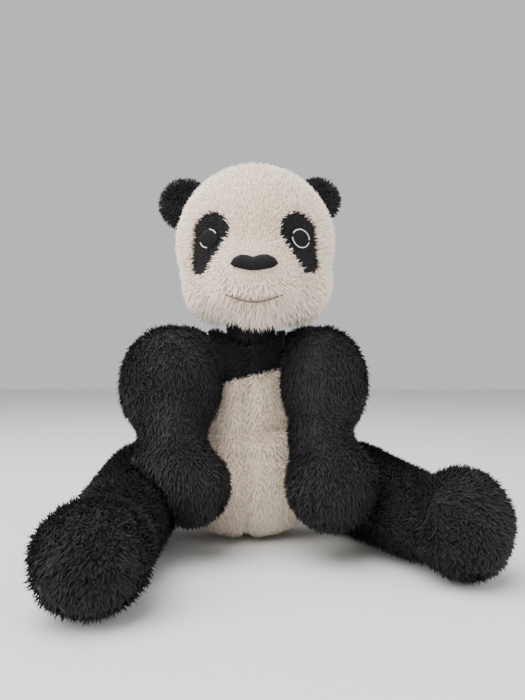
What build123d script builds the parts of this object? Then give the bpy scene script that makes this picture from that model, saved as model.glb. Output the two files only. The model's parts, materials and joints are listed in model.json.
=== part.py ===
from build123d import *
import os
from math import asin, cos, radians, sin, sqrt

# Plush panda, sitting with its legs out and its paws in its lap.
# Millimetres. +Z is up and the panda faces -Y, so +X is its own left.
# The origin is the middle of the flat it sits on.

SIDES = {"right": -1, "left": 1}

# Cloth and clearances
COVER = 1.5          # pile cloth: its backing and the packed roots of the pile
FILL_GAP = 0.1       # from the cloth to the stuffing
SEAM_GAP = 0.08      # between two panels of cloth at their seam
JOINT_GAP = 0.5      # between pieces that move against each other
TOUCH_GAP = 1.1      # between a paw and the thigh that it lies beside

# Torso: a pear, round in plan before it is widened and flattened
TORSO_WIDTH = 84.0
TORSO_DEPTH = 65.0
BELLY_RADIUS = 36.0
CHEST_RADIUS = 26.0
SEAT_RADIUS = 18.0
CHEST_CENTRE_Z = 91.0
TORSO_BACK_SHIFT = 5.0
TORSO_TOP_Z = 116.0
YOKE_Z = 91.0
SEAT_SEAM_Z = 7.0

# Neck and head
NECK_RADIUS = 15.0
NECK_ABOVE_TORSO = 1.8
NECK_SHIFT = (2.5, -1.5)
HEAD_RADIUS = 45.0
HEAD_SHIFT = (5.0, -5.0)
MUZZLE_RADIUS = 27.0
MUZZLE_FORWARD = 21.5
MUZZLE_DROP = 19.0
FACE_SEAM_BACK = 4.0
JOWL_RADIUS = 24.0
JOWL_PLACE = {"right": (18.0, -5.0, -19.0), "left": (19.5, -5.0, -19.5)}

# Face: places are across and up from the middle of the head
PATCH_TOP = (22.3, -0.5)
PATCH_TOP_RADIUS = 10.5
PATCH_TIP = (28.5, -15.5)
PATCH_TIP_RADIUS = 5.2
EYE_PLACE = (22.2, -4.4)
EYE_RADIUS = 4.6
EYE_RING_WIDTH = 0.7
EYE_STITCH = 0.8
NOSE_WIDTH = 22.0
NOSE_HEIGHT = 8.2
NOSE_LOBE = 0.32           # the radius of its lobes, as a share of its height
NOSE_DIP = 1.3             # how far the outer lobes' middles lie below its top, in lobe radii
NOSE_DROP = 18.5
NOSE_STITCH = 1.6
MOUTH_WIDTH = 26.0
MOUTH_DROP = 32.0
MOUTH_SAG = 3.2
MOUTH_THREAD = 1.1
MOUTH_STITCH = 0.7

# Ears: two layers of cloth each
EAR_RADIUS = {"right": 14.5, "left": 13.0}
EAR_LAYER = 3.6
EAR_EDGE_ROUND = 2.4
EAR_OUT = {"right": 3.0, "left": 0.0}
EAR_RISE = {"right": 32.0, "left": 38.0}
EAR_BACK = 3.0
EAR_GAP = 1.3

# Arms: shoulder, upper arm, elbow and paw
SHOULDER_OUT = 3.5
SHOULDER_Z = 101.0
SHOULDER_Y = -2.0
SHOULDER_RADIUS = 17.0
SHOULDER_BAR_RADIUS = 15.0
UPPER_ARM_SIZE = {"right": (56.0, 37.0, 64.0), "left": (49.0, 40.0, 62.0)}
UPPER_ARM_MIDDLE = {"right": (5.0, -24.0, -16.0), "left": (8.0, -18.0, -15.0)}
ELBOW_RADIUS = 16.0
ELBOW_WIDTH = 35.0
ELBOW_PLACE = {"right": (3.0, -36.5, -41.0), "left": (4.0, -33.0, -42.0)}
ELBOW_CUFF = 6.0
PAW_SIZE = {"right": (53.0, 34.0, 44.0), "left": (46.0, 36.0, 46.0)}
PAW_MIDDLE = {"right": (-6.0, -6.0, -21.5), "left": (4.0, -12.0, -21.5)}
PAW_TILT = {"right": 22.0, "left": 0.0}

# Legs: hip, leg, ankle and foot
HIP_OUT = {"right": 16.0, "left": 19.0}
HIP_Y = 3.0
HIP_RADIUS = 26.0
LEG_LENGTH = {"right": 84.0, "left": 60.0}
LEG_SPREAD = {"right": -2.0, "left": 27.0}
ANKLE_RADIUS = 20.5
ANKLE_ABOVE_FLOOR = 0.5
ANKLE_BALL_RADIUS = 19.5
ANKLE_CUFF = 5.0
FOOT_SIZE = {"right": (47.0, 42.0, 45.0), "left": (45.0, 42.0, 50.0)}
FOOT_REACH = {"right": 21.0, "left": 19.5}
FOOT_TURN = {"right": -10.0, "left": 12.0}
SOLE_DEPTH = 9.0

# Care label, sewn into the middle seam of the back
LABEL_WIDTH = 14.0
LABEL_LENGTH = 9.0
LABEL_THICKNESS = 0.6
LABEL_Z = 12.0

HUGE = 1000.0


def ball(centre, radius, pole=(0, 0, 1)):
    """A sphere about a joint's pivot, with its poles kept off the edges cut into it."""
    return Plane(origin=centre, z_dir=pole) * Sphere(radius)


def egg(centre, size, grow=0.0, lay=Rot(0, 90, 0), tilt=0.0, turn=0.0):
    """An ellipsoid grown evenly all round, with its poles laid clear of the cuts into it."""
    halves = tuple(side / 2 + grow for side in size)
    return Pos(*centre) * Rot(0, tilt, turn) * scale(lay * Sphere(1), by=halves)


def taper(start, start_radius, end, end_radius):
    """A round tapered limb: two balls and the cone that touches both."""
    axis = Vector(*end) - Vector(*start)
    lean = asin((start_radius - end_radius) / axis.length)

    def on_ball(height, radius, angle):
        return radius * cos(angle), height + radius * sin(angle)

    low = on_ball(0, start_radius, radians(-90))
    low_middle = on_ball(0, start_radius, (lean + radians(-90)) / 2)
    low_end = on_ball(0, start_radius, lean)
    high_end = on_ball(axis.length, end_radius, lean)
    high_middle = on_ball(axis.length, end_radius, (lean + radians(90)) / 2)
    high = on_ball(axis.length, end_radius, radians(90))
    outline = Curve() + [
        ThreePointArc(low, low_middle, low_end),
        Line(low_end, high_end),
        ThreePointArc(high_end, high_middle, high),
        Line(high, low),
    ]
    flat = make_face(Plane.XZ * outline)
    return Plane(origin=start, z_dir=axis) * revolve(flat, Axis.Z)


def slab(plane, low, high):
    """Everything between two heights above a plane."""
    return plane * Pos(0, 0, (low + high) / 2) * Box(HUGE, HUGE, high - low)


def above(plane, height=0.0):
    return slab(plane, height, HUGE)


def below(plane, height=0.0):
    return slab(plane, -HUGE, height)


def level(z):
    return Plane(origin=(0, 0, z), z_dir=(0, 0, 1))


def upright(y):
    """The plane across the body, seen from behind."""
    return Plane(origin=(0, y, 0), x_dir=(-1, 0, 0), z_dir=(0, 1, 0))


def middle(x):
    """The plane that parts right from left."""
    return Plane(origin=(x, 0, 0), x_dir=(0, 1, 0), z_dir=(1, 0, 0))


def write(name, shape):
    """One file for each node, holding one clean solid."""
    largest = max(shape.solids(), key=lambda solid: solid.volume)
    export_step(largest, f"parts/{name}.step")


def place(base, offset, side):
    """A point a given way outwards, back and up from another."""
    return base[0] + SIDES[side] * offset[0], base[1] + offset[1], base[2] + offset[2]


# ---- Places that follow from the sizes above ----

WIDEN = TORSO_WIDTH / (2 * BELLY_RADIUS)
BELLY_CENTRE_Z = sqrt(BELLY_RADIUS**2 - SEAT_RADIUS**2)

neck_pivot = (*NECK_SHIFT, TORSO_TOP_Z + NECK_ABOVE_TORSO)
head_centre = (HEAD_SHIFT[0], HEAD_SHIFT[1], neck_pivot[2] + HEAD_RADIUS)
muzzle_centre = (head_centre[0], head_centre[1] - MUZZLE_FORWARD, head_centre[2] - MUZZLE_DROP)

shoulder = {}
elbow = {}
hip = {}
ankle = {}
leg_direction = {}
for side, sign in SIDES.items():
    shoulder[side] = (sign * (CHEST_RADIUS * WIDEN + SHOULDER_OUT), SHOULDER_Y, SHOULDER_Z)
    elbow[side] = place(shoulder[side], ELBOW_PLACE[side], side)
    hip[side] = (sign * (TORSO_WIDTH / 2 + HIP_OUT[side]), HIP_Y, HIP_RADIUS)
    spread = radians(LEG_SPREAD[side])
    run = LEG_LENGTH[side]
    leg_direction[side] = Vector(sign * sin(spread), -cos(spread), 0)
    ankle_x = hip[side][0] + run * leg_direction[side].X
    ankle_y = hip[side][1] + run * leg_direction[side].Y
    ankle[side] = (ankle_x, ankle_y, ANKLE_RADIUS + ANKLE_ABOVE_FLOOR)


# ---- Outer forms, each grown evenly by a given amount ----


def shoulder_bar(grow=0.0):
    """A round bar from shoulder to shoulder, on the line that the arms swing about."""
    length = shoulder["left"][0] - shoulder["right"][0]
    return Pos(0, SHOULDER_Y, SHOULDER_Z) * Rot(0, 90, 0) * Cylinder(SHOULDER_BAR_RADIUS + grow, length)


def torso_form(grow=0.0):
    widen = (TORSO_WIDTH / 2 + grow) / (BELLY_RADIUS + grow)
    flatten = (TORSO_DEPTH / 2 + grow) / (BELLY_RADIUS + grow)
    pear = taper((0, 0, BELLY_CENTRE_Z), BELLY_RADIUS + grow, (0, 0, CHEST_CENTRE_Z), CHEST_RADIUS + grow)
    pear = Pos(0, TORSO_BACK_SHIFT, 0) * scale(pear, by=(widen, flatten, 1))
    return (pear & slab(level(0), -grow, TORSO_TOP_Z + grow)) + shoulder_bar(grow)


def head_form(grow=0.0):
    head = ball(head_centre, HEAD_RADIUS + grow) + ball(muzzle_centre, MUZZLE_RADIUS + grow)
    for side in SIDES:
        head += ball(place(head_centre, JOWL_PLACE[side], side), JOWL_RADIUS + grow, (0, 1, 0))
    return head


def leg_form(side, grow=0.0):
    return taper(hip[side], HIP_RADIUS + grow, ankle[side], ANKLE_RADIUS + grow)


def ankle_ball(side, grow=0.0):
    return ball(ankle[side], ANKLE_BALL_RADIUS + grow, leg_direction[side])


def foot_form(side, grow=0.0):
    ahead = leg_direction[side] * FOOT_REACH[side]
    centre = (ankle[side][0] + ahead.X, ankle[side][1] + ahead.Y, FOOT_SIZE[side][2] / 2)
    turn = SIDES[side] * (LEG_SPREAD[side] + FOOT_TURN[side])
    return egg(centre, FOOT_SIZE[side], grow, Rot(-90, 0, 0), turn=turn) + ankle_ball(side, grow)


def upper_arm_form(side, grow=0.0):
    return egg(place(shoulder[side], UPPER_ARM_MIDDLE[side], side), UPPER_ARM_SIZE[side], grow)


def elbow_form(side, grow=0.0):
    """Round about the line that the elbow bends on, and wider than it is deep."""
    return egg(elbow[side], (ELBOW_WIDTH, 2 * ELBOW_RADIUS, 2 * ELBOW_RADIUS), grow, Rot(0, 0, 45))


def paw_form(side, grow=0.0):
    centre = place(elbow[side], PAW_MIDDLE[side], side)
    lump = egg(centre, PAW_SIZE[side], grow, tilt=-SIDES[side] * PAW_TILT[side])
    return lump + elbow_form(side, grow)


# ---- Bodies cut back from their neighbours, at a given depth under their surface ----


def torso_at(depth):
    room = JOINT_GAP + depth
    torso = torso_form(-depth) - ball(neck_pivot, NECK_RADIUS + room)
    for side in SIDES:
        torso -= ball(shoulder[side], SHOULDER_RADIUS + room, (1, 0, 0))
        torso -= leg_form(side, room)
    return torso


def head_at(depth):
    return head_form(-depth) - ball(neck_pivot, NECK_RADIUS + JOINT_GAP + depth)


def arm_cuff(side):
    """The plane square to the upper arm where its cloth stops above the elbow."""
    return Plane(origin=elbow[side], z_dir=Vector(*shoulder[side]) - Vector(*elbow[side]))


def upper_arm_at(side, depth):
    room = JOINT_GAP + depth
    arm = upper_arm_form(side, -depth) & above(arm_cuff(side), ELBOW_CUFF + depth)
    arm = arm - torso_form(room) - elbow_form(side, room)
    return arm + ball(shoulder[side], SHOULDER_RADIUS - depth, (1, 0, 0))


def paw_at(side, depth):
    paw = paw_form(side, -depth) - torso_form(JOINT_GAP + depth)
    return paw - leg_form(side, TOUCH_GAP + depth)


def leg_cuff(side):
    """The plane square to the leg where its cloth stops behind the ankle."""
    return Plane(origin=ankle[side], z_dir=Vector(*hip[side]) - Vector(*ankle[side]))


def leg_at(side, depth):
    leg = leg_form(side, -depth) & above(leg_cuff(side), ANKLE_CUFF + depth)
    return leg - ankle_ball(side, JOINT_GAP + depth)


def foot_at(side, depth):
    return foot_form(side, -depth)


def cloth(body_at):
    return body_at(0) - body_at(COVER)


def stuffing(body_at):
    return body_at(COVER + FILL_GAP)


def two_panels(shape, seam):
    """The two panels of a cloth cover, on each side of its seam."""
    return shape & above(seam, SEAM_GAP / 2), shape & below(seam, -SEAM_GAP / 2)


# ---- Writing the pieces ----


def write_torso():
    cover = cloth(torso_at)
    yoke = cover & above(level(YOKE_Z), SEAM_GAP / 2)
    wall = cover & slab(level(0), SEAT_SEAM_Z + SEAM_GAP / 2, YOKE_Z - SEAM_GAP / 2)
    back_yoke, chest_yoke = two_panels(yoke, upright(TORSO_BACK_SHIFT))
    back, belly = two_panels(wall, upright(TORSO_BACK_SHIFT))
    back_left, back_right = two_panels(back, middle(0))
    belly_left, belly_right = two_panels(belly, middle(0))
    write("torso_stuffing", stuffing(torso_at))
    write("seat_panel", cover & below(level(SEAT_SEAM_Z), -SEAM_GAP / 2))
    write("chest_yoke", chest_yoke)
    write("back_yoke", back_yoke)
    write("belly_panel_left", belly_left)
    write("belly_panel_right", belly_right)
    write("back_panel_left", back_left)
    write("back_panel_right", back_right)
    tag_y = TORSO_BACK_SHIFT + TORSO_DEPTH / 2
    tag = Pos(0, tag_y + LABEL_LENGTH / 4, LABEL_Z + LABEL_WIDTH / 2)
    tag *= Box(LABEL_THICKNESS, LABEL_LENGTH * 3 / 2, LABEL_WIDTH)
    write("care_label", tag - torso_form(SEAM_GAP))


def write_neck():
    write("neck_stuffing", ball(neck_pivot, NECK_RADIUS))


def on_face(across, up):
    return Location((head_centre[0] + across, head_centre[1], head_centre[2] + up), (90, 0, 0))


def stamp(sketch):
    """A flat outline on the face carried straight forward through it."""
    return extrude(on_face(0, 0) * sketch, HEAD_RADIUS * 2)


def patch_outline(sign, grow=0.0):
    """A leaning drop: a large circle above and a small one out below it."""
    top = (sign * PATCH_TOP[0], PATCH_TOP[1])
    tip = (sign * PATCH_TIP[0], PATCH_TIP[1])
    large = Pos(*top) * Circle(PATCH_TOP_RADIUS + grow)
    small = Pos(*tip) * Circle(PATCH_TIP_RADIUS + grow)
    return make_hull([*large.edges(), *small.edges()])


def nose_outline():
    """Two rounded lobes above a blunt point."""
    lobe = NOSE_HEIGHT * NOSE_LOBE
    point = Pos(0, lobe - NOSE_HEIGHT / 2) * Circle(lobe)
    outline = Sketch() + point
    for sign in SIDES.values():
        side = Pos(sign * (NOSE_WIDTH / 2 - lobe), NOSE_HEIGHT / 2 - lobe * NOSE_DIP) * Circle(lobe)
        outline += make_hull([*side.edges(), *point.edges()])
    return Pos(0, -NOSE_DROP) * outline


def mouth_outline():
    """A thin smile of even width."""
    radius = (MOUTH_WIDTH**2 / 4 + MOUTH_SAG**2) / (2 * MOUTH_SAG)
    ring = Circle(radius + MOUTH_THREAD / 2) - Circle(radius - MOUTH_THREAD / 2)
    window = Pos(0, -radius) * Rectangle(MOUTH_WIDTH, MOUTH_SAG * 2)
    return Pos(0, radius - MOUTH_DROP - MOUTH_SAG) * (ring & window)


def write_head():
    cover = cloth(head_at)
    back, face = two_panels(cover, upright(head_centre[1] + FACE_SEAM_BACK))
    back_left, back_right = two_panels(back, middle(head_centre[0]))
    for side, sign in SIDES.items():
        write(f"eye_patch_{side}", face & stamp(patch_outline(sign)))
        eye_place = Pos(sign * EYE_PLACE[0], EYE_PLACE[1])
        ring_inside = EYE_RADIUS - EYE_RING_WIDTH
        stitches = head_form(EYE_STITCH) - head_form(SEAM_GAP)
        write(f"eye_{side}", stitches & stamp(eye_place * Circle(ring_inside - SEAM_GAP)))
        write(f"eye_ring_{side}", stitches & stamp(eye_place * (Circle(EYE_RADIUS) - Circle(ring_inside))))
    for sign in SIDES.values():
        face -= stamp(patch_outline(sign, SEAM_GAP))
    write("face_cover", face)
    write("head_back_left", back_left)
    write("head_back_right", back_right)
    write("head_stuffing", stuffing(head_at))
    write("nose", (head_form(NOSE_STITCH) - head_form(SEAM_GAP)) & stamp(nose_outline()))
    write("mouth", (head_form(MOUTH_STITCH) - head_form(SEAM_GAP)) & stamp(mouth_outline()))


def write_ear(side):
    """Two round layers of cloth that face forwards and lean back a little."""
    rise = radians(EAR_RISE[side])
    reach = HEAD_RADIUS + EAR_OUT[side]
    centre = (
        head_centre[0] + SIDES[side] * reach * cos(rise),
        head_centre[1] + EAR_BACK,
        head_centre[2] + reach * sin(rise),
    )
    layer = extrude(Circle(EAR_RADIUS[side]), EAR_LAYER)
    layer = fillet(layer.faces().sort_by(Axis.Z)[-1].edges(), EAR_EDGE_ROUND)
    for name, facing in (("front", 90), ("back", -90)):
        shell = Location(centre, (facing, 0, 0)) * Pos(0, 0, SEAM_GAP / 2) * layer
        write(f"ear_{name}_{side}", shell - head_form(EAR_GAP))


def write_arm(side):
    for name, body_at in (
        ("upper_arm", lambda depth: upper_arm_at(side, depth)),
        ("paw", lambda depth: paw_at(side, depth)),
    ):
        middle_y = place(shoulder[side], UPPER_ARM_MIDDLE[side], side)[1]
        if name == "paw":
            middle_y = place(elbow[side], PAW_MIDDLE[side], side)[1]
        back, front = two_panels(cloth(body_at), upright(middle_y))
        write(f"{name}_front_{side}", front)
        write(f"{name}_back_{side}", back)
        write(f"{name}_stuffing_{side}", stuffing(body_at))


def write_leg(side):
    top, underside = two_panels(cloth(lambda depth: leg_at(side, depth)), level(ankle[side][2]))
    write(f"leg_top_{side}", top)
    write(f"leg_underside_{side}", underside)
    write(f"leg_stuffing_{side}", stuffing(lambda depth: leg_at(side, depth)))
    turn = SIDES[side] * (LEG_SPREAD[side] + FOOT_TURN[side])
    facing = Vector(sin(radians(turn)), -cos(radians(turn)), 0)
    front = Vector(*ankle[side]) + facing * (FOOT_REACH[side] + FOOT_SIZE[side][1] / 2)
    sole_seam = Plane(origin=front - facing * SOLE_DEPTH, z_dir=facing)
    sole, upper = two_panels(cloth(lambda depth: foot_at(side, depth)), sole_seam)
    write(f"sole_panel_{side}", sole)
    write(f"foot_cover_{side}", upper)
    write(f"foot_stuffing_{side}", stuffing(lambda depth: foot_at(side, depth)))


os.makedirs("parts", exist_ok=True)
write_torso()
write_neck()
write_head()
for each_side in SIDES:
    write_ear(each_side)
    write_arm(each_side)
    write_leg(each_side)
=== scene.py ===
import json
from math import cos, pi, radians, sin, sqrt

import bmesh
import bpy
import numpy as np
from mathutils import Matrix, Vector, noise
from mathutils.bvhtree import BVHTree


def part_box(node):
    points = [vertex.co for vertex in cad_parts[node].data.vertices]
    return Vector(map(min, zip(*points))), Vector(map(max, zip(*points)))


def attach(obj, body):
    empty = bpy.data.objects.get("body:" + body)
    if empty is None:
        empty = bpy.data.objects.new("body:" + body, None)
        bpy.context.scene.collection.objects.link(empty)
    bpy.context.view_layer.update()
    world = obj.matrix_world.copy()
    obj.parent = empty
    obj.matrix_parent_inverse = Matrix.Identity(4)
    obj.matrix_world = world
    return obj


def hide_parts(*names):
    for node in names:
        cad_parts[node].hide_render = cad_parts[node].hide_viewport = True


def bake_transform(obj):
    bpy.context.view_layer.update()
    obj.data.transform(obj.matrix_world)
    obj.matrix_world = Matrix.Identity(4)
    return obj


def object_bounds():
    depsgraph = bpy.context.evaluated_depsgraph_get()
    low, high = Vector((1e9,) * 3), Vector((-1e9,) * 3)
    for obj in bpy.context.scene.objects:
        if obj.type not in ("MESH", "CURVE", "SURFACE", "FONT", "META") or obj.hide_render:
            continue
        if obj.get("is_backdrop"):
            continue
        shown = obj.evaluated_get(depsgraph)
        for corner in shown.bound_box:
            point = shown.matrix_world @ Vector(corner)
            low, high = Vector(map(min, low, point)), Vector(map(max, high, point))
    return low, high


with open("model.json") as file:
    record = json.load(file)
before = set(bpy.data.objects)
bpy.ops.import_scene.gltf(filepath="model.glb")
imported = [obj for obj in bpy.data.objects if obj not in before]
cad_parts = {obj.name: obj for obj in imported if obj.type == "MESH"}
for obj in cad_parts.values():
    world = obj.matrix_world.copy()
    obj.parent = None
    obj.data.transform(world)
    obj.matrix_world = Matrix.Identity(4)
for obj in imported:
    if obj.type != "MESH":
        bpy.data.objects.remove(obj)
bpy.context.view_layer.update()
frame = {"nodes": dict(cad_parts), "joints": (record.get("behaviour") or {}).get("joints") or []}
scene = bpy.context.scene

MM = 0.001
SIDES = {"right": -1, "left": 1}

# Cloth skins
VOXEL = 2.5 * MM
EAR_VOXEL = 1.4 * MM
PILE_ROOM = 1.6 * MM       # the skin lies this far under the frame's surface
BACKING = 1.2 * MM
LIMB_BRIDGE = 8.0 * MM
SEAM_HALF_WIDTH = 2.2 * MM
SWELL_LIMIT = 1.6 * MM
CLOTH_FRAMES = 20
CLOTH_PRESSURE = 4.0

# Head
HEAD_RADIUS = 45 * MM
MOUTH_SAG = 3.2 * MM
MOUTH_PROUD = 1.9 * MM

# Embroidery
THREAD = 0.34 * MM
THREAD_SPACING = 1.5 * THREAD
SATIN_STEPS = 7
RING_THREAD = 0.28 * MM
MOUTH_THREAD = 0.55 * MM
PATCH_PROUD = 1.2 * MM
NOSE_PROUD = 1.0 * MM
EYE_DOME = 0.9 * MM
NOSE_DOME = 1.6 * MM

# Pile
TUFT_WIDTH = 0.6 * MM
CROWD = 1.25e6             # tufts to the square metre
LIMB_PILE = 3.9 * MM
BELLY_PILE = 4.4 * MM
FACE_PILE = 3.0 * MM
CHIN_PILE = 8.2 * MM
EAR_PILE = 2.8 * MM
PATCH_PILE = 2.8 * MM
SEAT_PILE = 1.6 * MM
NECK_PILE = 3.0 * MM


# ---- Reading places from the frame ----


def corners(*nodes):
    """The lowest and highest corner of several nodes together."""
    lows, highs = zip(*[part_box(node) for node in nodes])
    return np.min(np.array(lows), axis=0), np.max(np.array(highs), axis=0)


def middle_of(*nodes):
    low, high = corners(*nodes)
    return Vector((low + high) / 2)


def pivot(joint):
    for entry in frame["joints"]:
        if entry["name"] == joint:
            return Vector(entry["pos_m"])
    raise KeyError(joint)


HEAD_HIGH = corners("head_back_left", "head_back_right")[1]
FACE_SEAM_Y = corners("face_cover")[1][1]
HEAD = Vector((middle_of("nose").x, HEAD_HIGH[1] - HEAD_RADIUS, HEAD_HIGH[2] - HEAD_RADIUS))
NOSE = middle_of("nose")
MOUTH = middle_of("mouth")
EYES = {side: middle_of(f"eye_{side}") for side in SIDES}
EYE_RADIUS = (corners("eye_ring_left")[1][0] - corners("eye_ring_left")[0][0]) / 2
TORSO_LOW, TORSO_HIGH = corners("torso_stuffing")
YOKE_Z = corners("chest_yoke")[0][2]
SEAT_SEAM_Z = corners("seat_panel")[1][2]


# ---- Skins: one closed bag of cloth for each stuffed part ----


def evaluated(piece):
    """The piece's mesh with its modifiers applied."""
    bpy.context.view_layer.update()
    graph = bpy.context.evaluated_depsgraph_get()
    shown = piece.evaluated_get(graph)
    return bpy.data.meshes.new_from_object(shown, preserve_all_data_layers=True, depsgraph=graph)


def settle(piece):
    """Applies every modifier and leaves a plain mesh."""
    mesh = evaluated(piece)
    piece.modifiers.clear()
    piece.data = mesh
    return piece


def new_piece(name, mesh):
    piece = bpy.data.objects.new(name, mesh)
    scene.collection.objects.link(piece)
    return piece


def points_of(mesh):
    flat = np.empty(len(mesh.vertices) * 3)
    mesh.vertices.foreach_get("co", flat)
    return flat.reshape(-1, 3)


def normals_of(mesh):
    flat = np.empty(len(mesh.vertices) * 3)
    mesh.vertices.foreach_get("normal", flat)
    return flat.reshape(-1, 3)


def put_points(mesh, points):
    mesh.vertices.foreach_set("co", np.asarray(points, dtype=float).ravel())
    mesh.update()


def keep_largest(mesh):
    """Drops the small closed pockets that a remesh can leave between cloth and stuffing."""
    bm = bmesh.new()
    bm.from_mesh(mesh)
    unseen = set(bm.verts)
    islands = []
    while unseen:
        island = set()
        edge = [unseen.pop()]
        while edge:
            vert = edge.pop()
            island.add(vert)
            for link in vert.link_edges:
                other = link.other_vert(vert)
                if other in unseen:
                    unseen.discard(other)
                    edge.append(other)
        islands.append(island)
    largest = max(islands, key=len)
    bmesh.ops.delete(bm, geom=[v for v in bm.verts if v not in largest], context="VERTS")
    bm.to_mesh(mesh)
    bm.free()


def even_out(piece, voxel, smoothing):
    """Remeshes to one even closed surface and smooths it."""
    remesh = piece.modifiers.new("Remesh", "REMESH")
    remesh.mode = "VOXEL"
    remesh.voxel_size = voxel
    smooth = piece.modifiers.new("Smooth", "SMOOTH")
    smooth.factor = 0.5
    smooth.iterations = smoothing
    settle(piece)
    keep_largest(piece.data)


def bag(name, nodes, voxel=VOXEL, smoothing=8, inset=PILE_ROOM, bridge=0.0):
    """The outside of several nodes as one even mesh, a pile's thickness inside them.

    Creases narrower than twice the bridge are spanned by the cloth, as on a real limb."""
    points, faces = [], []
    for node in nodes:
        mesh = frame["nodes"][node].data
        start = len(points)
        points += [vert.co[:] for vert in mesh.vertices]
        faces += [[start + i for i in face.vertices] for face in mesh.polygons]
    mesh = bpy.data.meshes.new(name)
    mesh.from_pydata(points, [], faces)
    piece = new_piece(name, mesh)
    even_out(piece, voxel, smoothing)
    if bridge:
        put_points(piece.data, points_of(piece.data) + normals_of(piece.data) * bridge)
        even_out(piece, voxel, smoothing)
    put_points(piece.data, points_of(piece.data) - normals_of(piece.data) * (inset + bridge))
    return piece


def sew(piece, seams):
    """Marks the points close to a seam, which the stuffing can't push out."""
    group = piece.vertex_groups.new(name="sewn")
    points = points_of(piece.data)
    near = np.zeros(len(points), dtype=bool)
    for distance in seams:
        near |= np.abs(distance(points)) < SEAM_HALF_WIDTH
    group.add([int(i) for i in np.nonzero(near)[0]], 1.0, "REPLACE")


def stuff(pieces):
    """Presses the cloth of every bag out against its seams, all in one simulation."""
    started = {}
    for piece in pieces:
        started[piece.name] = points_of(piece.data)
        cloth = piece.modifiers.new("Cloth", "CLOTH")
        cloth.settings.use_pressure = True
        cloth.settings.uniform_pressure_force = CLOTH_PRESSURE
        cloth.settings.effector_weights.gravity = 0
        cloth.settings.vertex_group_mass = "sewn"
        cloth.settings.quality = 4
        cloth.collision_settings.use_collision = False
        cloth.point_cache.frame_start = 1
        cloth.point_cache.frame_end = CLOTH_FRAMES
    for number in range(1, CLOTH_FRAMES + 1):
        scene.frame_set(number)
    for piece in pieces:
        swollen = evaluated(piece)
        before = started[piece.name]
        move = points_of(swollen) - before
        length = np.linalg.norm(move, axis=1, keepdims=True)
        move *= np.minimum(1, SWELL_LIMIT / np.maximum(length, 1e-9))
        piece.modifiers.clear()
        put_points(piece.data, before + move)
    scene.frame_set(1)


def subdivide(piece):
    fine = piece.modifiers.new("Subdivision", "SUBSURF")
    fine.levels = 1
    fine.render_levels = 1
    settle(piece)


def press_lines(piece, lines):
    """Draws the skin inwards along seams and creases: each is (distance, depth, width)."""
    points = points_of(piece.data)
    normals = normals_of(piece.data)
    depth = np.zeros(len(points))
    for distance, deep, width in lines:
        depth += deep * np.exp(-((distance(points) / width) ** 2))
    put_points(piece.data, points - normals * depth[:, None])


# ---- Materials ----


def node_maker(material):
    tree = material.node_tree

    def add(kind, **settings):
        node = tree.nodes.new(kind)
        for key, value in settings.items():
            setattr(node, key, value)
        return node

    return add, tree.links.new


def ramp(node, stops):
    """Sets a colour ramp's stops, as (place, colour)."""
    elements = node.color_ramp.elements
    while len(elements) > len(stops):
        elements.remove(elements[-1])
    while len(elements) < len(stops):
        elements.new(1.0)
    for element, (place, colour) in zip(elements, stops):
        element.position = place
        element.color = (*colour, 1.0)


def pile_material(name, along, tones, sheen, roughness, sheen_tint):
    """Pile cloth: colour runs from root to tip, darker at the root as painted shade deep in the pile, and each
    tuft has a tone of its own.
    """
    material = bpy.data.materials.new(name)
    material.use_nodes = True
    add, link = node_maker(material)
    shader = material.node_tree.nodes["Principled BSDF"]
    strand = add("ShaderNodeUVMap", uv_map="OFBake")
    parts = add("ShaderNodeSeparateXYZ")
    root_shade_to_tip = add("ShaderNodeValToRGB")
    tone = add("ShaderNodeValToRGB")
    mix = add("ShaderNodeMix", data_type="RGBA", blend_type="MULTIPLY")
    mix.inputs["Factor"].default_value = 1.0
    # The root end of this ramp is painted shade deep in the pile; the tips are lighter.
    ramp(root_shade_to_tip, along)
    ramp(tone, tones)
    link(strand.outputs["UV"], parts.inputs[0])
    link(parts.outputs["Y"], root_shade_to_tip.inputs[0])
    link(parts.outputs["X"], tone.inputs[0])
    link(root_shade_to_tip.outputs[0], mix.inputs[6])
    link(tone.outputs[0], mix.inputs[7])
    link(mix.outputs[2], shader.inputs["Base Color"])
    shader.inputs["Roughness"].default_value = roughness
    shader.inputs["Specular IOR Level"].default_value = 0.25
    shader.inputs["Sheen Weight"].default_value = sheen
    shader.inputs["Sheen Roughness"].default_value = 0.45
    shader.inputs["Sheen Tint"].default_value = (*sheen_tint, 1.0)
    return material


def thread_material(name, dark, light, roughness):
    """Embroidery thread: a twist of fine light and dark lines."""
    material = bpy.data.materials.new(name)
    material.use_nodes = True
    add, link = node_maker(material)
    shader = material.node_tree.nodes["Principled BSDF"]
    place = add("ShaderNodeTexCoord")
    grain = add("ShaderNodeTexNoise")
    grain.inputs["Scale"].default_value = 2600.0
    grain.inputs["Detail"].default_value = 3.0
    colour = add("ShaderNodeValToRGB")
    ramp(colour, [(0.35, dark), (0.65, light)])
    bump = add("ShaderNodeBump")
    bump.inputs["Strength"].default_value = 0.35
    bump.inputs["Distance"].default_value = 0.1 * MM
    link(place.outputs["Object"], grain.inputs["Vector"])
    link(grain.outputs["Fac"], colour.inputs[0])
    link(colour.outputs[0], shader.inputs["Base Color"])
    link(grain.outputs["Fac"], bump.inputs["Height"])
    link(bump.outputs[0], shader.inputs["Normal"])
    shader.inputs["Roughness"].default_value = roughness
    shader.inputs["Specular IOR Level"].default_value = 0.2
    return material


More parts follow.
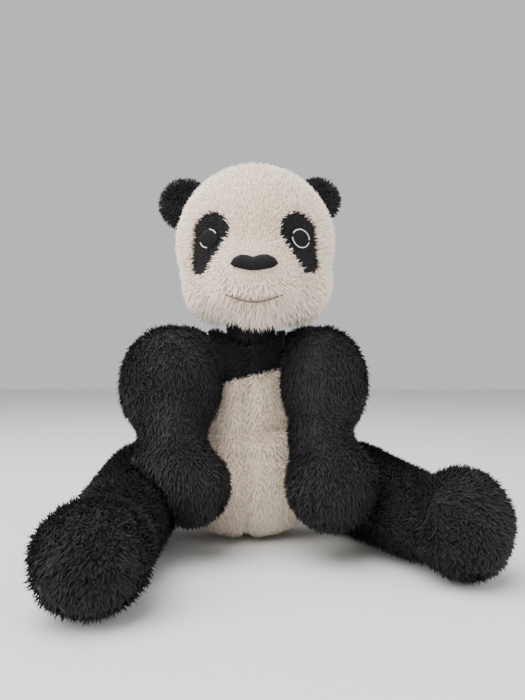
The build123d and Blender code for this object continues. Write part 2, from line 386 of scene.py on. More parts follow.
def tape_material(name):
    """Blank woven tape: fine crossing ribs."""
    material = bpy.data.materials.new(name)
    material.use_nodes = True
    add, link = node_maker(material)
    shader = material.node_tree.nodes["Principled BSDF"]
    place = add("ShaderNodeTexCoord")
    ribs = add("ShaderNodeTexWave", bands_direction="Z")
    ribs.inputs["Scale"].default_value = 900.0
    threads = add("ShaderNodeTexWave", bands_direction="Y")
    threads.inputs["Scale"].default_value = 600.0
    weave = add("ShaderNodeMath", operation="MULTIPLY")
    colour = add("ShaderNodeValToRGB")
    ramp(colour, [(0.0, (0.70, 0.69, 0.66)), (1.0, (0.90, 0.89, 0.86))])
    bump = add("ShaderNodeBump")
    bump.inputs["Distance"].default_value = 0.05 * MM
    link(place.outputs["Object"], ribs.inputs["Vector"])
    link(place.outputs["Object"], threads.inputs["Vector"])
    link(ribs.outputs["Fac"], weave.inputs[0])
    link(threads.outputs["Fac"], weave.inputs[1])
    link(weave.outputs[0], colour.inputs[0])
    link(colour.outputs[0], shader.inputs["Base Color"])
    link(weave.outputs[0], bump.inputs["Height"])
    link(bump.outputs[0], shader.inputs["Normal"])
    shader.inputs["Roughness"].default_value = 0.8
    return material


# Both piles are darker at the root than at the tip: painted shade deep in the pile.
CREAM = pile_material(
    "cream pile",
    [
        (0.0, (0.60, 0.46, 0.34)), (0.22, (0.86, 0.74, 0.60)),
        (0.60, (0.97, 0.88, 0.76)), (1.0, (0.98, 0.92, 0.82)),
    ],
    [(0.0, (0.86, 0.83, 0.80)), (0.5, (0.97, 0.96, 0.95)), (1.0, (1.0, 1.0, 1.0))],
    0.25, 0.85, (1.0, 0.93, 0.84),
)
BLACK = pile_material(
    "black pile",
    [(0.0, (0.004, 0.004, 0.005)), (0.5, (0.011, 0.010, 0.012)), (1.0, (0.030, 0.028, 0.032))],
    [(0.0, (0.55, 0.52, 0.56)), (0.8, (1.0, 1.0, 1.0)), (1.0, (1.0, 1.0, 1.0))],
    0.12, 0.62, (0.62, 0.60, 0.66),
)
BLACK_THREAD = thread_material("black thread", (0.003, 0.003, 0.004), (0.012, 0.011, 0.012), 0.55)
# White thread for the arcs at the eyes' rims, which are painted highlight.
HIGHLIGHT_THREAD = thread_material("highlight thread", (0.62, 0.60, 0.56), (0.86, 0.84, 0.80), 0.5)
BROWN_THREAD = thread_material("brown thread", (0.13, 0.085, 0.065), (0.24, 0.17, 0.13), 0.6)
TAPE = tape_material("woven tape")


# ---- Pile: tufts planted all over a panel of cloth ----


def tuft_shape():
    """One tuft: three sides, a belly and a hooked tip. Its roots are closed by a small face."""
    rings = [(0.0, 1.0, 0.0), (0.5, 0.78, 0.16)]
    points = []
    along = []
    across = []
    for height, radius, hook in rings:
        for corner in range(3):
            turn = corner * 2 * pi / 3
            points.append((hook + radius * cos(turn) / 2, radius * sin(turn) / 2, height))
            along.append(height)
            across.append(corner / 2)
    points.append((0.5, 0.0, 1.0))
    along.append(1.0)
    across.append(0.5)
    faces = [(2, 1, 0)]
    for corner in range(3):
        after = (corner + 1) % 3
        faces.append((corner, after, 3 + after, 3 + corner))
        faces.append((3 + corner, 3 + after, 6))
    mesh = bpy.data.meshes.new("tuft")
    mesh.from_pydata(points, [], faces)
    for key, values in (("along", along), ("across", across)):
        mesh.attributes.new(key, "FLOAT", "POINT").data.foreach_set("value", values)
    return bpy.data.objects.new("tuft", mesh)


def pile_tree():
    """Geometry Nodes: plants tufts on the faces and lays them the way the cloth is combed."""
    tree = bpy.data.node_groups.new("Pile", "GeometryNodeTree")
    face = tree.interface

    def socket(name, kind, value=None):
        item = face.new_socket(name, in_out="INPUT", socket_type=kind)
        if value is not None:
            item.default_value = value
        return item

    socket("Cloth", "NodeSocketGeometry")
    socket("Tuft", "NodeSocketObject")
    socket("Backing", "NodeSocketObject")
    socket("Finish", "NodeSocketMaterial")
    socket("Width", "NodeSocketFloat", TUFT_WIDTH)
    socket("Stand", "NodeSocketFloat", 0.75)
    socket("Mess", "NodeSocketFloat", 0.35)
    socket("Seed", "NodeSocketInt", 1)
    face.new_socket("Pile", in_out="OUTPUT", socket_type="NodeSocketGeometry")

    def add(kind, **settings):
        node = tree.nodes.new(kind)
        for key, value in settings.items():
            setattr(node, key, value)
        return node

    link = tree.links.new
    given = add("NodeGroupInput").outputs
    result = add("NodeGroupOutput")

    def named(name, kind="FLOAT"):
        node = add("GeometryNodeInputNamedAttribute", data_type=kind)
        node.inputs["Name"].default_value = name
        return node.outputs["Attribute"]

    def chance(low, high, step, kind="FLOAT"):
        node = add("FunctionNodeRandomValue", data_type=kind)
        offset = add("FunctionNodeIntegerMath", operation="ADD")
        offset.inputs[1].default_value = step
        link(given["Seed"], offset.inputs[0])
        link(offset.outputs[0], node.inputs["Seed"])
        lows = [s for s in node.inputs if s.name == "Min" and s.enabled]
        highs = [s for s in node.inputs if s.name == "Max" and s.enabled]
        lows[0].default_value = low
        highs[0].default_value = high
        return [s for s in node.outputs if s.enabled][0]

    def vector(operation, first, second):
        node = add("ShaderNodeVectorMath", operation=operation)
        link(first, node.inputs[0])
        if operation == "SCALE":
            link(second, node.inputs["Scale"])
        else:
            link(second, node.inputs[1])
        return node.outputs[0]

    def number(operation, first, second):
        node = add("ShaderNodeMath", operation=operation)
        link(first, node.inputs[0])
        link(second, node.inputs[1])
        return node.outputs[0]

    plant = add("GeometryNodeDistributePointsOnFaces", distribute_method="RANDOM")
    link(given["Cloth"], plant.inputs["Mesh"])
    link(named("crowd"), plant.inputs["Density"])
    link(given["Seed"], plant.inputs["Seed"])

    stray = vector("SCALE", chance((-1, -1, -1), (1, 1, 1), 3, "FLOAT_VECTOR"), given["Mess"])
    upright = vector("SCALE", plant.outputs["Normal"], given["Stand"])
    lean = vector("ADD", upright, named("comb", "FLOAT_VECTOR"))
    lean = vector("ADD", lean, stray)
    stand_up = add("FunctionNodeAlignRotationToVector", axis="Z")
    link(lean, stand_up.inputs["Vector"])
    hook = add("FunctionNodeAlignRotationToVector", axis="X", pivot_axis="Z")
    link(stand_up.outputs[0], hook.inputs["Rotation"])
    link(vector("ADD", named("comb", "FLOAT_VECTOR"), stray), hook.inputs["Vector"])

    wide = number("MULTIPLY", given["Width"], chance(0.7, 1.35, 5))
    long = number("MULTIPLY", named("pile"), chance(0.62, 1.12, 7))
    size = add("ShaderNodeCombineXYZ")
    link(wide, size.inputs[0])
    link(wide, size.inputs[1])
    link(long, size.inputs[2])

    tuft = add("GeometryNodeObjectInfo")
    link(given["Tuft"], tuft.inputs["Object"])
    copies = add("GeometryNodeInstanceOnPoints")
    link(plant.outputs["Points"], copies.inputs["Points"])
    link(tuft.outputs["Geometry"], copies.inputs["Instance"])
    link(hook.outputs[0], copies.inputs["Rotation"])
    link(size.outputs[0], copies.inputs["Scale"])

    patchy = add("ShaderNodeTexNoise")
    patchy.inputs["Scale"].default_value = 130.0
    where = add("GeometryNodeInputPosition")
    link(where.outputs[0], patchy.inputs["Vector"])
    half = add("ShaderNodeMix", data_type="FLOAT")
    half.inputs["Factor"].default_value = 0.55
    link(patchy.outputs["Fac"], half.inputs["A"])
    link(chance(0.0, 1.0, 11), half.inputs["B"])
    tone = add("GeometryNodeStoreNamedAttribute", data_type="FLOAT", domain="INSTANCE")
    tone.inputs["Name"].default_value = "tone"
    link(copies.outputs[0], tone.inputs["Geometry"])
    link(half.outputs["Result"], tone.inputs["Value"])

    backing = add("GeometryNodeObjectInfo")
    link(given["Backing"], backing.inputs["Object"])
    together = add("GeometryNodeJoinGeometry")
    link(tone.outputs[0], together.inputs[0])
    link(backing.outputs["Geometry"], together.inputs[0])
    real = add("GeometryNodeRealizeInstances")
    finish = add("GeometryNodeSetMaterial")
    link(together.outputs[0], real.inputs[0])
    link(real.outputs[0], finish.inputs["Geometry"])
    link(given["Finish"], finish.inputs["Material"])
    link(finish.outputs[0], result.inputs[0])
    return tree


TUFT = tuft_shape()
PILE = pile_tree()


def set_inputs(modifier, **values):
    """Sets a node tree's inputs by their sockets' identifiers."""
    items = modifier.node_group.interface.items_tree
    keys = {item.name: item.identifier for item in items if item.in_out == "INPUT"}
    for name, value in values.items():
        modifier[keys[name]] = value


def attribute(mesh, name, kind, values):
    layer = mesh.attributes.get(name) or mesh.attributes.new(name, kind, "POINT")
    key = "vector" if kind == "FLOAT_VECTOR" else "value"
    layer.data.foreach_set(key, np.asarray(values, dtype=np.float32).ravel())


def read_attribute(mesh, name):
    values = np.zeros(len(mesh.vertices), dtype=np.float32)
    layer = mesh.attributes.get(name)
    if layer is not None:
        layer.data.foreach_get("value", values)
    return values


def lay_map(mesh):
    """The piece's own map: across it the tuft's tone, and up it the way from root to tip."""
    corner = np.zeros(len(mesh.loops), dtype=np.int32)
    mesh.loops.foreach_get("vertex_index", corner)
    tone = read_attribute(mesh, "tone")[corner]
    along = read_attribute(mesh, "along")[corner]
    across = read_attribute(mesh, "across")[corner]
    flat = np.stack([0.01 + 0.95 * tone + 0.02 * across, 0.03 + 0.94 * along], axis=1)
    while mesh.uv_layers:
        mesh.uv_layers.remove(mesh.uv_layers[0])
    layer = mesh.uv_layers.new(name="OFBake")
    layer.data.foreach_set("uv", flat.astype(np.float32).ravel())
    for name in ("tone", "along", "across", "pile", "crowd", "comb"):
        if mesh.attributes.get(name):
            mesh.attributes.remove(mesh.attributes[name])


def swirl(point, scale, seed):
    """A gentle, repeatable wandering direction."""
    return np.array(noise.noise_vector(Vector(point) * scale + Vector((seed, -seed, seed * 2.0))))


def cut_out(skin, keep):
    """A copy of the faces whose centres pass the test."""
    bm = bmesh.new()
    bm.from_mesh(skin.data)
    centres = np.array([face.calc_center_median()[:] for face in bm.faces])
    chosen = keep(centres)
    bmesh.ops.delete(bm, geom=[f for f, kept in zip(bm.faces, chosen) if not kept], context="FACES")
    mesh = bpy.data.meshes.new("panel")
    bm.to_mesh(mesh)
    bm.free()
    return mesh


def panel(name, skin, keep, finish, length, comb, body, replaced, slot, **pile):
    """One sewn panel: closed backing cloth cut from the skin, with pile on its outside.

    length and comb take points and normals, and give the pile's length and its lay."""
    mesh = cut_out(skin, keep)
    points = points_of(mesh)
    normals = normals_of(mesh)
    lay = comb(points, normals)
    lay += np.array([swirl(point, 45.0, len(name)) for point in points]) * pile.get("wander", 0.35)
    lay -= normals * np.sum(lay * normals, axis=1, keepdims=True)
    long = length(points, normals)
    attribute(mesh, "pile", "FLOAT", long)
    attribute(mesh, "comb", "FLOAT_VECTOR", lay)
    attribute(mesh, "crowd", "FLOAT", CROWD * pile.get("crowd", 1.0) * (long > 0))
    backing = bpy.data.objects.new("backing", mesh.copy())
    scene.collection.objects.link(backing)
    wall = backing.modifiers.new("Wall", "SOLIDIFY")
    wall.thickness = BACKING
    wall.offset = -1.0
    settle(backing)
    rng = np.random.default_rng(len(name) * 7 + 1)
    count = len(backing.data.vertices)
    attribute(backing.data, "tone", "FLOAT", rng.random(count))
    # The backing cloth between the tufts gets the colour of the pile's roots: painted shade under the pile.
    attribute(backing.data, "along", "FLOAT", rng.random(count) * pile.get("ground", 0.15))
    attribute(backing.data, "across", "FLOAT", rng.random(count))
    piece = new_piece(name, mesh)
    planted = piece.modifiers.new("Pile", "NODES")
    planted.node_group = PILE
    set_inputs(
        planted, Tuft=TUFT, Backing=backing, Finish=finish, Seed=len(name) * 3 + int(sum(map(ord, name))),
        Width=TUFT_WIDTH * pile.get("width", 1.0), Stand=pile.get("stand", 0.75), Mess=pile.get("mess", 0.35),
    )
    settle(piece)
    lay_map(piece.data)
    bpy.data.objects.remove(backing)
    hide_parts(*replaced)
    if isinstance(body, str):
        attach(piece, body)
    else:
        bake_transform(piece)
    return piece


# ---- Threads: embroidery and seams ----


def thread_tree():
    """Geometry Nodes: turns every run of edges into a round thread."""
    tree = bpy.data.node_groups.new("Threads", "GeometryNodeTree")
    face = tree.interface
    face.new_socket("Runs", in_out="INPUT", socket_type="NodeSocketGeometry")
    face.new_socket("Radius", in_out="INPUT", socket_type="NodeSocketFloat").default_value = 0.25 * MM
    face.new_socket("Finish", in_out="INPUT", socket_type="NodeSocketMaterial")
    face.new_socket("Threads", in_out="OUTPUT", socket_type="NodeSocketGeometry")
    given = tree.nodes.new("NodeGroupInput").outputs
    result = tree.nodes.new("NodeGroupOutput")
    runs = tree.nodes.new("GeometryNodeMeshToCurve")
    round_section = tree.nodes.new("GeometryNodeCurvePrimitiveCircle")
    round_section.inputs["Resolution"].default_value = 6
    sweep = tree.nodes.new("GeometryNodeCurveToMesh")
    sweep.inputs["Fill Caps"].default_value = True
    real = tree.nodes.new("GeometryNodeRealizeInstances")
    finish = tree.nodes.new("GeometryNodeSetMaterial")
    link = tree.links.new
    link(given["Runs"], runs.inputs["Mesh"])
    link(given["Radius"], round_section.inputs["Radius"])
    link(runs.outputs[0], sweep.inputs["Curve"])
    link(round_section.outputs["Curve"], sweep.inputs["Profile Curve"])
    link(sweep.outputs[0], real.inputs[0])
    link(real.outputs[0], finish.inputs["Geometry"])
    link(given["Finish"], finish.inputs["Material"])
    link(finish.outputs[0], result.inputs[0])
    return tree


THREADS = thread_tree()


def stitch(name, runs, radius, finish, body, replaced):
    """Threads along runs of points, as one piece of embroidery."""
    points = []
    edges = []
    for run in runs:
        start = len(points)
        points += [tuple(point) for point in run]
        edges += [(start + i, start + i + 1) for i in range(len(run) - 1)]
    mesh = bpy.data.meshes.new(name)
    mesh.from_pydata(points, edges, [])
    piece = new_piece(name, mesh)
    sweep = piece.modifiers.new("Threads", "NODES")
    sweep.node_group = THREADS
    set_inputs(sweep, Radius=radius, Finish=finish)
    settle(piece)
    bm = bmesh.new()
    bm.from_mesh(piece.data)
    bmesh.ops.recalc_face_normals(bm, faces=bm.faces)
    bm.to_mesh(piece.data)
    bm.free()
    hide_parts(*replaced)
    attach(piece, body)
    return piece


def face_finder(skin):
    """Gives points on the front of a skin, a little proud of it."""
    tree = BVHTree.FromObject(skin, bpy.context.evaluated_depsgraph_get())

    def find(across, height, proud=0.0):
        hit, normal, _, _ = tree.ray_cast(Vector((across, -1.0, height)), Vector((0, 1, 0)))
        return hit + normal * proud

    return find


# ---- The skins ----


def smooth_step(low, high, value):
    share = np.clip((value - low) / (high - low), 0, 1)
    return share * share * (3 - 2 * share)


def downwards(points, normals):
    return np.tile(np.array([0.0, 0.0, -0.75]), (len(points), 1))


def even(length):
    return lambda points, normals: np.full(len(points), length)


torso_skin = bag("torso skin", [
    "torso_stuffing", "seat_panel", "chest_yoke", "back_yoke",
    "belly_panel_left", "belly_panel_right", "back_panel_left", "back_panel_right",
])
head_skin = bag("head skin", ["head_stuffing", "face_cover", "head_back_left", "head_back_right"])
neck_skin = bag("neck skin", ["neck_stuffing"])
arm_skins = {}
leg_skins = {}
ear_skins = {}
for side in SIDES:
    arm_skins[side] = bag(f"arm skin {side}", [
        f"{part}_{layer}_{side}" for part in ("upper_arm", "paw") for layer in ("front", "back", "stuffing")
    ], bridge=LIMB_BRIDGE)
    leg_skins[side] = bag(f"leg skin {side}", [
        f"leg_top_{side}", f"leg_underside_{side}", f"leg_stuffing_{side}",
        f"foot_cover_{side}", f"sole_panel_{side}", f"foot_stuffing_{side}",
    ], bridge=LIMB_BRIDGE)
    ear_skins[side] = bag(f"ear skin {side}", [f"ear_front_{side}", f"ear_back_{side}"], EAR_VOXEL, 4, 0.8 * MM)

SIDE_SEAM_Y = corners("belly_panel_left")[1][1]
ARM_SEAM_Y = {}
LEG_SEAM_Z = {}
for side in SIDES:
    upper = corners(f"upper_arm_front_{side}")[1][1]
    lower = corners(f"paw_front_{side}")[1][1]
    ARM_SEAM_Y[side] = (upper, lower, pivot(f"elbow_{side}").z)
    LEG_SEAM_Z[side] = corners(f"leg_top_{side}")[0][2]


def arm_seam(side):
    upper, lower, elbow = ARM_SEAM_Y[side]

    def distance(points):
        share = smooth_step(elbow - 12 * MM, elbow + 12 * MM, points[:, 2])
        return points[:, 1] - (lower + (upper - lower) * share)

    return distance


def leg_seam(side):
    return lambda points: points[:, 2] - LEG_SEAM_Z[side]


def belly_seam(points):
    """The middle seam, which shows from the seat to the yoke."""
    return points[:, 0]


def side_seam(points):
    return points[:, 1] - SIDE_SEAM_Y


def seat_seam(points):
    return points[:, 2] - SEAT_SEAM_Z


def yoke_seam(points):
    """The yoke's lower edge, which runs up a little towards the panda's left."""
    slope = np.where(points[:, 1] < SIDE_SEAM_Y, 0.25, 0.0)
    return points[:, 2] - (YOKE_Z - 1.5 * MM + slope * points[:, 0])


def head_seam(points):
    return points[:, 1] - FACE_SEAM_Y


def head_middle(points):
    return points[:, 0] - HEAD.x


sew(torso_skin, [belly_seam, side_seam, seat_seam])
sew(head_skin, [head_seam])
for side in SIDES:
    sew(arm_skins[side], [arm_seam(side)])
    sew(leg_skins[side], [leg_seam(side)])
stuffed = [torso_skin, head_skin, *arm_skins.values(), *leg_skins.values()]
stuff(stuffed)
for skin in [*stuffed, neck_skin, *ear_skins.values()]:
    subdivide(skin)


def front_only(distance, seam_y):
    """A crease that shows only on the front: elsewhere it is a long way off."""
    return lambda points: np.where(points[:, 1] < seam_y, distance(points), 1.0)


def level_crease(height, tilt=0.0):
    return lambda points: points[:, 2] - height - tilt * points[:, 0]


TORSO_TALL = TORSO_HIGH[2] - TORSO_LOW[2]
press_lines(torso_skin, [
    (front_only(belly_seam, SIDE_SEAM_Y), 2.6 * MM, 2.8 * MM),
    (side_seam, 1.0 * MM, 2.5 * MM),
    (front_only(level_crease(0.53 * TORSO_TALL, 0.05), SIDE_SEAM_Y), 2.0 * MM, 3.6 * MM),
    (front_only(level_crease(0.41 * TORSO_TALL, -0.08), SIDE_SEAM_Y), 1.3 * MM, 3.0 * MM),
    (yoke_seam, 0.8 * MM, 2.0 * MM),
])
MOUTH_CREASE = MOUTH.z - 6.5 * MM
press_lines(head_skin, [
    (front_only(level_crease(MOUTH_CREASE), HEAD.y - 20 * MM), 2.2 * MM, 3.4 * MM),
    (head_seam, 0.6 * MM, 2.2 * MM),
])
for side in SIDES:
    press_lines(arm_skins[side], [(arm_seam(side), 0.7 * MM, 2.2 * MM)])
    press_lines(leg_skins[side], [(leg_seam(side), 0.7 * MM, 2.2 * MM)])


# ---- Torso ----


def torso_part(low, high, front, sign=None):
    """Which of the torso's faces lie between two seams, on one side of the side seam."""

    def keep(centres):
        chosen = (low(centres) >= 0) & (high(centres) < 0)
        if front is not None:
            chosen &= (centres[:, 1] < SIDE_SEAM_Y) == front
        if sign is not None:
            chosen &= (centres[:, 0] * sign) >= 0
        return chosen

    return keep


def everywhere(points):
    return np.ones(len(points))


def nowhere(points):
    return -np.ones(len(points))


def belly_length(points, normals):
    """Longer, looser pile on the chest than low on the belly."""
    return BELLY_PILE * (0.8 + 0.35 * smooth_step(0.5 * TORSO_TALL, 0.75 * TORSO_TALL, points[:, 2]))


for side, sign in SIDES.items():
    panel(f"belly_cloth_{side}", torso_skin, torso_part(seat_seam, yoke_seam, True, sign), CREAM,
          belly_length, downwards, "torso", [f"belly_panel_{side}"], "cream_pile", stand=0.7, wander=0.5)
    panel(f"back_cloth_{side}", torso_skin, torso_part(seat_seam, yoke_seam, False, sign), CREAM,
          belly_length, downwards, "torso", [f"back_panel_{side}"], "cream_pile")
panel("seat_cloth", torso_skin, torso_part(everywhere, seat_seam, None), CREAM,
      even(SEAT_PILE), downwards, "torso", ["seat_panel", "torso_stuffing"], "cream_pile", stand=0.3)
for name, front in (("chest_yoke", True), ("back_yoke", False)):
    panel(f"{name}_cloth", torso_skin, torso_part(yoke_seam, nowhere, front), BLACK,
          even(LIMB_PILE), downwards, "torso", [name], "black_pile")
panel("neck_cloth", neck_skin, lambda centres: np.ones(len(centres), dtype=bool), BLACK,
      even(NECK_PILE), downwards, "neck", ["neck_stuffing"], "black_pile")


# ---- Head ----


def away_from_nose(points, normals):
    """The pile on the face is brushed outwards and down from the nose."""
    out = points - np.array(NOSE)
    out /= np.maximum(np.linalg.norm(out, axis=1, keepdims=True), 1e-6)
    return out * 0.8 + np.array([0.0, 0.0, -0.2])


def backwards(points, normals):
    return np.tile(np.array([0.0, 0.45, -0.6]), (len(points), 1))


def face_length(points, normals):
    """Short on the forehead and around the nose, long and shaggy on the cheeks and chin."""
    low = 1 - smooth_step(NOSE.z - 22 * MM, NOSE.z - 2 * MM, points[:, 2])
    side = smooth_step(0.55 * HEAD_RADIUS, 0.95 * HEAD_RADIUS, np.abs(points[:, 0] - HEAD.x))
    long = FACE_PILE + (CHIN_PILE - FACE_PILE) * low * (1 - 0.5 * side)
    nose = np.hypot((points[:, 0] - NOSE.x) / 1.9, points[:, 2] - NOSE.z)
    mouth = np.hypot((points[:, 0] - MOUTH.x) / 6.0, points[:, 2] - MOUTH.z)
    long *= 0.4 + 0.6 * smooth_step(1.5 * MM, 4 * MM, mouth)
    return long * (0.45 + 0.55 * smooth_step(6 * MM, 13 * MM, nose))


def teardrop(side, points):
    """How far outside the eye patch points lie, seen from in front; less than nothing is inside."""
    low, high = corners(f"eye_patch_{side}")
    sign = SIDES[side]
    inner, outer = (low[0], high[0]) if sign > 0 else (high[0], low[0])
    height = high[2] - low[2]
    top = np.array([inner + sign * 0.44 * abs(outer - inner), high[2] - 0.36 * height])
    tip = np.array([inner + sign * 0.70 * abs(outer - inner), low[2] + 0.17 * height])
    flat = points[:, [0, 2]]
    along = np.clip((flat - top) @ (tip - top) / ((tip - top) @ (tip - top)), 0, 1)
    radius = 0.43 * abs(outer - inner) * (1 - along) + 0.165 * height * along
    return np.linalg.norm(flat - (top + along[:, None] * (tip - top)), axis=1) - radius


def patch_front(points):
    return points[:, 1] < HEAD.y


def on_patch(centres):
    inside = np.zeros(len(centres), dtype=bool)
    for side in SIDES:
        inside |= (teardrop(side, centres) < 0) & patch_front(centres)
    return inside


def face_side(centres):
    return (head_seam(centres) < 0) & ~on_patch(centres)


panel("face_cloth", head_skin, face_side, CREAM, face_length, away_from_nose, "head",
      ["face_cover", "head_stuffing"], "cream_pile", crowd=0.76, width=1.08, wander=0.55, mess=0.4)
for side, sign in SIDES.items():
    panel(f"head_back_cloth_{side}", head_skin,
          lambda centres: (head_seam(centres) >= 0) & (head_middle(centres) * sign >= 0), CREAM,
          even(FACE_PILE * 1.15), backwards, "head", [f"head_back_{side}"], "cream_pile")

    def patch_length(points, normals):
        eye = np.hypot(points[:, 0] - EYES[side].x, points[:, 2] - EYES[side].z)
        return PATCH_PILE * (0.35 + 0.65 * smooth_step(EYE_RADIUS - 1 * MM, EYE_RADIUS + 2 * MM, eye))

    panel(f"eye_patch_cloth_{side}", head_skin,
          lambda centres: (teardrop(side, centres) < 0) & patch_front(centres), BLACK,
          patch_length, away_from_nose, "head", [f"eye_patch_{side}"], "black_pile", crowd=1.15)


# ---- Ears ----


for side in SIDES:
    low, high = corners(f"ear_front_{side}", f"ear_back_{side}")
    split_y = corners(f"ear_front_{side}")[1][1]
    middle = Vector((low + high) / 2)

    def outwards(points, normals):
        out = points - np.array(middle)
        return out / np.maximum(np.linalg.norm(out, axis=1, keepdims=True), 1e-6) * 0.5

    for layer, front in (("front", True), ("back", False)):
        panel(f"ear_{layer}_cloth_{side}", ear_skins[side],
              lambda centres: (centres[:, 1] < split_y) == front, BLACK, even(EAR_PILE), outwards,
              f"ear_{side}", [f"ear_{layer}_{side}"], "black_pile", crowd=1.2, fill=0.5)


# ---- Arms and legs ----


def along_limb(start, end, low_share):
    """Pile combed along the limb, from the body towards the paw or foot."""
    run = np.array(end - start)
    run /= np.linalg.norm(run)

    def lay(points, normals):
        return np.tile(run * 0.6 + np.array([0.0, 0.0, -low_share]), (len(points), 1))

    return lay


def beyond_sole_seam(side, ankle):
    """A test for the faces on the sole's side of its seam."""
    points = points_of(frame["nodes"][f"sole_panel_{side}"].data)
    middle = points.mean(axis=0)
    facing = np.linalg.svd(points - middle, full_matrices=False)[2][2]
    facing *= np.sign((middle - np.array(ankle)) @ facing)
    seam = (points @ facing).min()
    return lambda centres: centres @ facing > seam


for side, sign in SIDES.items():
    shoulder, elbow = pivot(f"shoulder_{side}"), pivot(f"elbow_{side}")
    paw = middle_of(f"paw_stuffing_{side}")
    bend = (paw - elbow).normalized() * 9 * MM
    hang = along_limb(shoulder, paw, 0.3)
    for layer, front in (("front", True), ("back", False)):
        distance = arm_seam(side)
        panel(f"arm_{layer}_cloth_{side}", arm_skins[side],
              lambda centres: (distance(centres) < 0) == front, BLACK, even(LIMB_PILE), hang,
              (f"upper_arm_{side}", f"paw_{side}", elbow - bend, elbow + bend),
              [f"upper_arm_{layer}_{side}", f"paw_{layer}_{side}"]
              + ([f"upper_arm_stuffing_{side}", f"paw_stuffing_{side}"] if front else []),
              "black_pile", wander=0.7, mess=0.45, crowd=0.85, width=1.1)

    hip, ankle = pivot(f"hip_{side}"), pivot(f"ankle_{side}")
    foot = middle_of(f"foot_stuffing_{side}")
    along = (ankle - hip).normalized()
    bend = along * 8 * MM
    lay = along_limb(hip, foot, 0.12)
    distance = leg_seam(side)
    on_sole = beyond_sole_seam(side, ankle)
    for layer, top in (("top", True), ("underside", False)):
        panel(f"leg_{layer}_cloth_{side}", leg_skins[side],
              lambda centres: ((distance(centres) >= 0) == top) & ~on_sole(centres), BLACK,
              even(LIMB_PILE), lay, (f"leg_{side}", f"foot_{side}", ankle - bend, ankle + bend),
              [f"leg_{layer}_{side}"] + ([f"leg_stuffing_{side}", f"foot_cover_{side}"] if top else []),
              "black_pile", wander=0.7, mess=0.45, crowd=0.85 if top else 0.6, width=1.1)
    panel(f"sole_cloth_{side}", leg_skins[side], on_sole, BLACK, even(LIMB_PILE), downwards, f"foot_{side}",
          [f"sole_panel_{side}", f"foot_stuffing_{side}"], "black_pile", wander=0.7, mess=0.45, width=1.1)


# ---- Embroidered face ----


on_face = face_finder(head_skin)


def filled(outline, proud, dome):
    """Satin stitches side by side: upright runs that fill an outline of (across, height) pairs."""
    runs = []
    edges = list(zip(outline, outline[1:] + outline[:1]))
    left = min(x for x, _ in outline)
    right = max(x for x, _ in outline)
    x = left + THREAD_SPACING / 2
    while x < right:
        cuts = sorted(
            a[1] + (b[1] - a[1]) * (x - a[0]) / (b[0] - a[0]) for a, b in edges if (a[0] - x) * (b[0] - x) < 0
        )
        if len(cuts) >= 2:
            low, high = cuts[0], cuts[-1]
            run = []
            for i in range(SATIN_STEPS + 1):
                share = i / SATIN_STEPS
                across = 2 * (x - left) / (right - left) - 1
                lift = dome * sqrt(max(0.0, (1 - across * across) * (1 - (2 * share - 1) ** 2)))
                run.append(on_face(x, low + (high - low) * share, proud + lift))
            runs.append(run)
        x += THREAD_SPACING
    return runs


for side in SIDES:
    eye = EYES[side]
    outline = [
        (eye.x + EYE_RADIUS * cos(i * pi / 16), eye.z + EYE_RADIUS * sin(i * pi / 16)) for i in range(32)
    ]
    stitch(f"eye_stitches_{side}", filled(outline, PATCH_PROUD, EYE_DOME), THREAD, BLACK_THREAD,
           "head", [f"eye_{side}"])
    # The white arcs at the eyes' rims are painted highlight where the eyes shine, fuller on the panda's left
    # eye than on its right.
    ring = []
    for i in range(41):
        turn = i * pi / 20
        across = eye.x + 0.93 * EYE_RADIUS * cos(turn)
        height = eye.z + 0.93 * EYE_RADIUS * sin(turn)
        ring.append(on_face(across, height, PATCH_PROUD + 0.75 * MM))
    highlight_arcs = [ring[0:18], ring[20:39]] if side == "left" else [ring[3:10], ring[22:30]]
    stitch(f"ring_stitches_{side}", highlight_arcs, RING_THREAD, HIGHLIGHT_THREAD, "head",
           [f"eye_ring_{side}"])

NOSE_LOW, NOSE_HIGH = corners("nose")
NOSE_HALF = (NOSE_HIGH[0] - NOSE_LOW[0]) / 2
NOSE_TALL = NOSE_HIGH[2] - NOSE_LOW[2]
nose_shape = [
    (-1.0, 0.46), (-0.86, 0.80), (-0.55, 0.98), (-0.28, 0.93), (-0.04, 0.80),
    (0.22, 0.95), (0.55, 1.0), (0.86, 0.82), (1.0, 0.48), (0.85, 0.26),
    (0.55, 0.12), (0.2, 0.02), (-0.15, 0.0), (-0.5, 0.1), (-0.85, 0.26),
]
outline = [(NOSE.x + x * NOSE_HALF, NOSE_LOW[2] + z * NOSE_TALL) for x, z in nose_shape]
stitch("nose_stitches", filled(outline, NOSE_PROUD, NOSE_DOME), THREAD, BLACK_THREAD,
       "head", ["nose"])

MOUTH_LOW, MOUTH_HIGH = corners("mouth")
MOUTH_HALF = (MOUTH_HIGH[0] - MOUTH_LOW[0]) / 2
mouth_run = []
for i in range(27):
    share = i / 13 - 1
    sag = (1 - share * share) * MOUTH_SAG
    mouth_run.append(on_face(MOUTH.x + share * MOUTH_HALF, MOUTH_HIGH[2] - 0.4 * MM - sag, MOUTH_PROUD))
stitch("mouth_stitches", [mouth_run], MOUTH_THREAD, BROWN_THREAD, "head", ["mouth"])

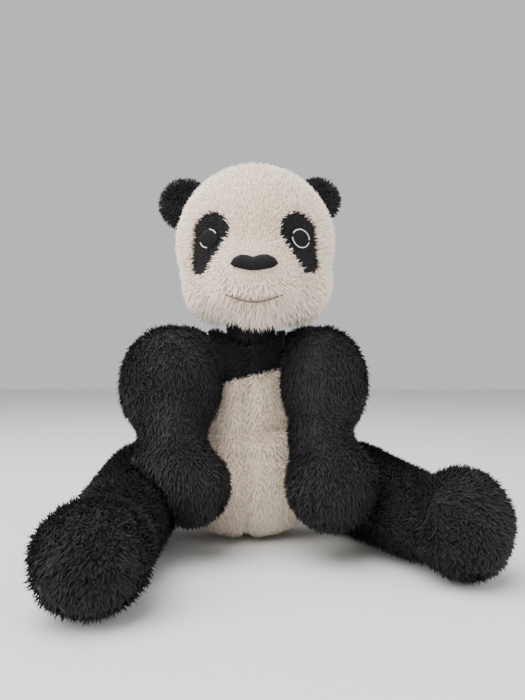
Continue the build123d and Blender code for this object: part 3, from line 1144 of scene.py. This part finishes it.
label = frame["nodes"]["care_label"]
label.data.materials.clear()
label.data.materials.append(TAPE)


# ---- Camera, light and floor ----


def lamp(name, at, size, power, colour, aim):
    light = bpy.data.lights.new(name, "AREA")
    light.size = size
    light.energy = power
    light.color = colour
    holder = bpy.data.objects.new(name, light)
    holder.location = at
    holder.rotation_euler = (Vector(aim) - Vector(at)).to_track_quat("-Z", "Y").to_euler()
    scene.collection.objects.link(holder)
    return holder


middle = (0.0, -0.02, 0.10)
lamp("softbox above", (-0.25, -0.35, 0.95), 0.9, 17.0, (1.0, 0.98, 0.95), middle)
lamp("softbox left", (-0.85, -0.55, 0.45), 0.7, 8.0, (1.0, 0.97, 0.93), middle)
lamp("softbox right", (0.85, -0.45, 0.40), 0.7, 5.0, (0.95, 0.97, 1.0), middle)

world = bpy.data.worlds.new("pale room")
world.use_nodes = True
world.node_tree.nodes["Background"].inputs["Color"].default_value = (0.93, 0.94, 0.95, 1.0)
world.node_tree.nodes["Background"].inputs["Strength"].default_value = 0.7
scene.world = world

floor_mesh = bpy.data.meshes.new("floor")
floor_mesh.from_pydata([(-3, -3, 0), (3, -3, 0), (3, 3, 0), (-3, 3, 0)], [], [(0, 1, 2, 3)])
floor = new_piece("floor", floor_mesh)
floor_finish = bpy.data.materials.new("plain floor")
floor_finish.use_nodes = True
floor_finish.node_tree.nodes["Principled BSDF"].inputs["Base Color"].default_value = (0.80, 0.80, 0.79, 1.0)
floor_finish.node_tree.nodes["Principled BSDF"].inputs["Roughness"].default_value = 0.9
floor.data.materials.append(floor_finish)
floor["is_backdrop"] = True

camera = bpy.data.cameras.new("camera")
camera.lens = 27.05
camera.sensor_width = 36.0
viewer = bpy.data.objects.new("camera", camera)
viewer.location = (0.009, -0.302, 0.090)
viewer.rotation_euler = (radians(92.7), 0, 0)
scene.collection.objects.link(viewer)
scene.camera = viewer


# ---- Finish ----


for helper in (torso_skin, head_skin, neck_skin, *arm_skins.values(), *leg_skins.values(), *ear_skins.values()):
    bpy.data.objects.remove(helper)
low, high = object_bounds()
